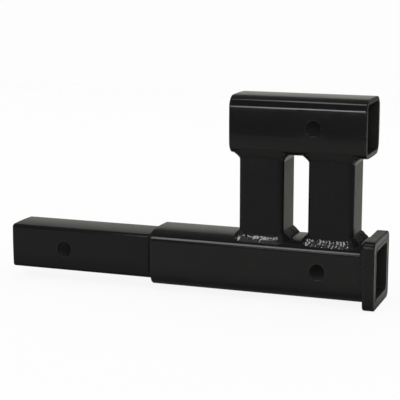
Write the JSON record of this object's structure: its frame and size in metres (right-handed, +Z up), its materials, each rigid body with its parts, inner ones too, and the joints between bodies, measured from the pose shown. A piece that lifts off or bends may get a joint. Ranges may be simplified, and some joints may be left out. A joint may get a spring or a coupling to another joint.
{
  "type": "dual hitch adapter",
  "caption": "Welded black steel adapter: a square shank plugs into a trailer hitch receiver and carries a collared lower socket and an upper socket raised on posts.",
  "frame": {"origin": "centre of the shank's cross-pin hole, on the shank's axis", "axes": "+X back along the shank to the mouths of the receivers, +Y along the pin hole, +Z up"},
  "size_m": [0.437, 0.0762, 0.2265],
  "materials": {
    "black_painted_steel": "semi-gloss black paint over steel tube",
    "painted_weld": "semi-gloss black paint over a rippled weld bead"
  },
  "bodies": {
    "root": {"shank_tube": "black_painted_steel", "lower_receiver_tube": "black_painted_steel", "receiver_collar": "black_painted_steel", "upper_receiver_tube": "black_painted_steel", "front_post": "black_painted_steel", "rear_post": "black_painted_steel", "shank_weld": "painted_weld", "collar_weld": "painted_weld", "front_post_lower_weld": "painted_weld", "front_post_upper_weld": "painted_weld", "rear_post_lower_weld": "painted_weld", "rear_post_upper_weld": "painted_weld"}
  },
  "joints": []
}
